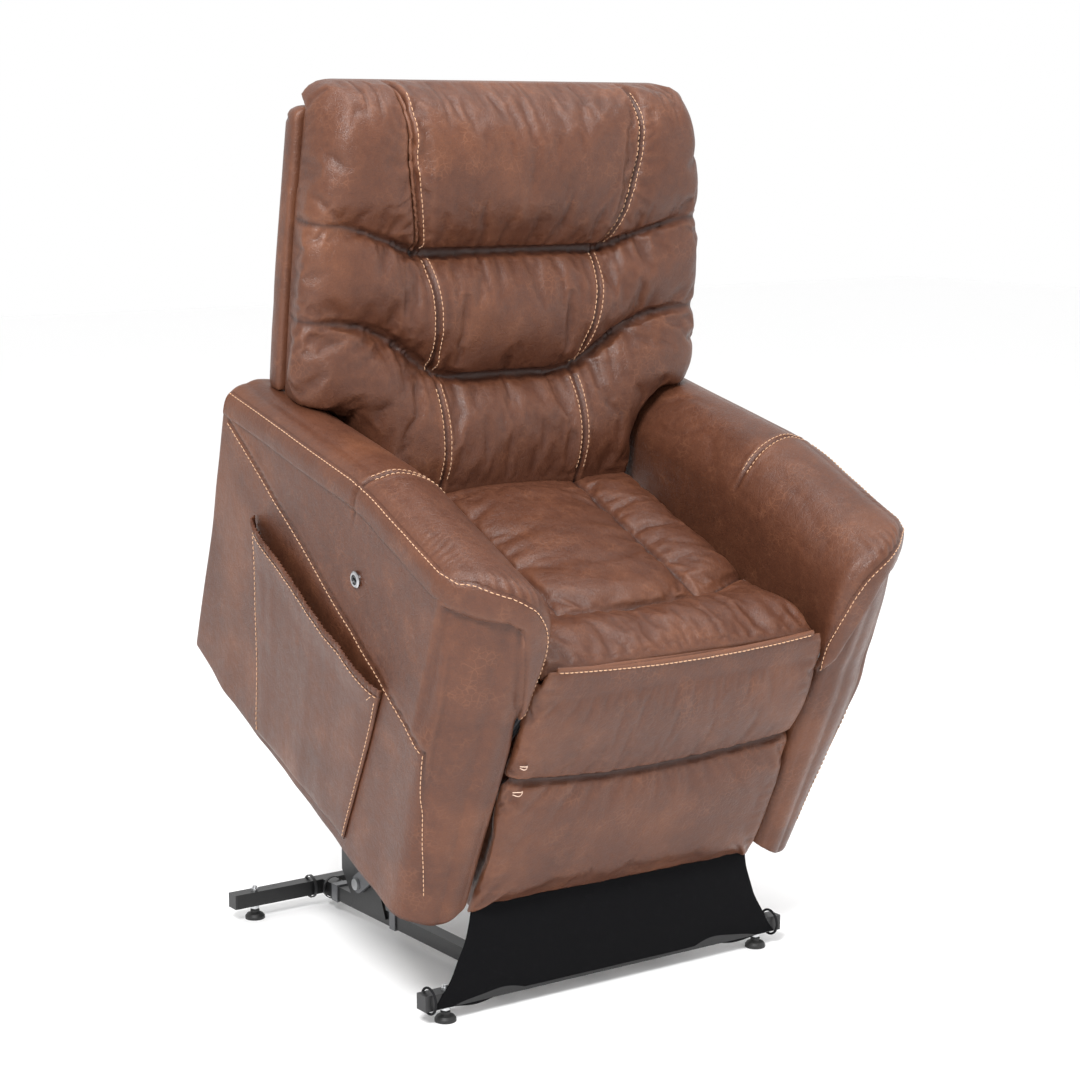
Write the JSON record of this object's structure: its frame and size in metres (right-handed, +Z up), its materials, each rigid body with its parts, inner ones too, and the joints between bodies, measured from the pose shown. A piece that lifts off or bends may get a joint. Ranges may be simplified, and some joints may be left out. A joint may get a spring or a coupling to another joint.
{
  "type": "lift recliner chair",
  "caption": "Power lift recliner chair with a tilting seat, reclining back, folding leg rest and a levelled steel base.",
  "frame": {"origin": "middle of the footprint on the floor, with the seat at the top of its lift", "axes": "+Z up, -Y towards the front where the sitter faces, +X to the chair's left-hand side for the sitter"},
  "size_m": [0.8725, 0.9306, 1.4289],
  "materials": {
    "upholstery": "matte mottled brown, tan thread",
    "upholstery_inner": "matte mottled brown",
    "black_steel": "satin black powder coat",
    "link_steel": "satin grey",
    "zinc_steel": "satin zinc",
    "ram_steel": "polished",
    "black_plastic": "matte",
    "foot_rubber": "matte",
    "skirt_fabric": "matte stretch knit",
    "elastic": "matte",
    "socket_metal": "satin",
    "socket_plastic": "gloss",
    "plywood": "matte"
  },
  "bodies": {
    "base": {"front_crossbar": "black_steel", "rear_crossbar": "black_steel", "side_rails": "black_steel", "tube_end_caps": "black_plastic", "levelling_studs": "zinc_steel", "foot_pads": "foot_rubber", "rail_collars": "link_steel", "riser_brackets": "black_steel", "base_pivot_bolts": "zinc_steel", "lift_motor_clevis": "black_steel", "skirt": "skirt_fabric", "skirt_ties": "elastic", "cable_ties": "black_plastic"},
    "lower_links": {"lower_link_arms": "link_steel", "torque_tube": "black_steel", "crank_pin": "zinc_steel"},
    "upper_links": {"upper_link_arms": "link_steel"},
    "lift_motor": {"lift_motor_tube": "black_plastic", "lift_motor_can": "black_plastic"},
    "lift_ram": {"lift_ram": "ram_steel"},
    "chair": {"lift_frame": "black_steel", "frame_pivot_bolts": "zinc_steel", "seat_frame": "plywood", "seat_springs": "link_steel", "seat_cushion": "upholstery", "arm_outer_left": "upholstery", "arm_outer_right": "upholstery", "arm_inner_left": "upholstery_inner", "arm_inner_right": "upholstery_inner", "arm_front_left": "upholstery", "arm_front_right": "upholstery", "arm_rear_left": "upholstery_inner", "arm_rear_right": "upholstery_inner", "arm_pad_left": "upholstery", "arm_pad_right": "upholstery", "side_pocket": "upholstery", "socket_bezel": "socket_metal", "socket_insert": "socket_plastic", "back_hinge_brackets": "link_steel", "legrest_brackets": "link_steel", "pivot_pins": "zinc_steel", "leg_motor": "black_plastic", "back_motor": "black_plastic", "control_box": "black_plastic"},
    "back": {"back_frame": "plywood", "back_shell": "upholstery", "lower_back_pad": "upholstery", "lumbar_pad": "upholstery", "head_pad": "upholstery", "back_hinge_arms": "link_steel"},
    "back_ram": {"back_ram": "ram_steel"},
    "legrest": {"legrest_board": "plywood", "legrest_upper_pad": "upholstery", "legrest_lower_pad": "upholstery", "legrest_cheeks": "link_steel"},
    "leg_ram": {"leg_ram": "ram_steel"}
  },
  "joints": [
    {"name": "lift", "type": "hinge", "parent": "base", "child": "lower_links", "pos_m": [0, 0.2707, 0.08], "axis": [1, 0, 0], "range_deg": [0, 40], "deforming": ["skirt"]},
    {"name": "frame_pivot", "type": "hinge", "parent": "lower_links", "child": "chair", "pos_m": [0, 0.00123, 0.27115], "axis": [1, 0, 0], "range_deg": [-64.6, 0.1]},
    {"name": "upper_link", "type": "hinge", "parent": "base", "child": "upper_links", "pos_m": [0, 0.3107, 0.19], "axis": [1, 0, 0], "range_deg": [-0.1, 40.1]},
    {"name": "motor_swing", "type": "hinge", "parent": "base", "child": "lift_motor", "pos_m": [0, -0.1543, 0.062], "axis": [1, 0, 0], "range_deg": [-0.1, 6.85]},
    {"name": "lift_ram_slide", "type": "slide", "parent": "lift_motor", "child": "lift_ram", "axis": [0, 0.9644, 0.2645], "range_m": [-0.0857, 0.0005]},
    {"name": "back_recline", "type": "hinge", "parent": "chair", "child": "back", "pos_m": [0, 0.25313, 0.65715], "axis": [-1, 0, 0], "range_deg": [0, 35]},
    {"name": "back_ram_slide", "type": "slide", "parent": "chair", "child": "back_ram", "axis": [0, -0.91, -0.4147], "range_m": [-0.0005, 0.0366]},
    {"name": "legrest_fold", "type": "hinge", "parent": "chair", "child": "legrest", "pos_m": [0, -0.36498, 0.5425], "axis": [-1, 0, 0], "range_deg": [0, 85]},
    {"name": "leg_ram_slide", "type": "slide", "parent": "chair", "child": "leg_ram", "axis": [0, -0.91, -0.4147], "range_m": [-0.0005, 0.1356]}
  ],
  "couplings": [
    {"joint": "frame_pivot", "follows": "lift", "ratio": -1.6125},
    {"joint": "upper_link", "follows": "lift", "ratio": 1},
    {"joint": "motor_swing", "follows": "lift", "ratio": 0.16873},
    {"joint": "lift_ram_slide", "follows": "lift", "m_per_rad": -0.12197},
    {"joint": "back_ram_slide", "follows": "back_recline", "m_per_rad": 0.05907},
    {"joint": "leg_ram_slide", "follows": "legrest_fold", "m_per_rad": 0.09108}
  ]
}
